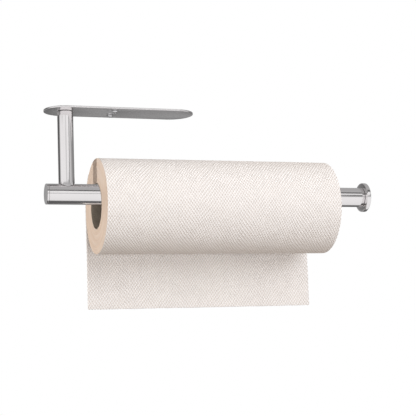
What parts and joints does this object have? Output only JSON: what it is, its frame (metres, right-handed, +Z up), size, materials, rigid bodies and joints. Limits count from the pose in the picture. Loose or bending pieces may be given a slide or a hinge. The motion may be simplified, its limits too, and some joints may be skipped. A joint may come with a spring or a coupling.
{
  "type": "paper towel holder",
  "caption": "Under-cabinet paper towel holder: a stadium plate and post carry a steel bar with a stopper disc, on which a roll of embossed kitchen paper slides and turns.",
  "frame": {"origin": "middle of the mounting plate's top face, which lies against the underside of the cabinet", "axes": "+X along the bar from the post to the stopper disc, +Y away from the viewer towards the back, where the free sheet hangs, +Z up into the cabinet"},
  "size_m": [0.3715, 0.1038, 0.211],
  "materials": {
    "brushed_steel": "satin",
    "turned_steel": "satin",
    "plated_steel": "polished",
    "core_cardboard": "matte",
    "wound_paper": "matte",
    "loose_paper": "matte"
  },
  "bodies": {
    "holder": {"mounting_plate": "brushed_steel", "post_tube": "brushed_steel", "post_top_guide": "turned_steel", "post_foot_guide": "turned_steel", "tie_bolt": "plated_steel", "bar_tube": "brushed_steel", "bar_end_cap": "brushed_steel", "bar_plug": "turned_steel", "bar_end_nut": "turned_steel", "stopper_disc": "brushed_steel", "stopper_screw": "plated_steel", "mounting_screw_front": "plated_steel", "mounting_screw_rear": "plated_steel"},
    "free_sheet": {"hanging_sheet": "loose_paper"},
    "roll": {"paper_roll": "wound_paper", "roll_core": "core_cardboard"}
  },
  "joints": [
    {"name": "roll_slide", "type": "slide", "parent": "holder", "child": "free_sheet", "axis": [1, 0, 0], "range_m": [-0.022, 0.048]},
    {"name": "roll_spin", "type": "hinge", "parent": "free_sheet", "child": "roll", "pos_m": [0, 0, -0.1035], "axis": [1, 0, 0], "continuous": true}
  ]
}
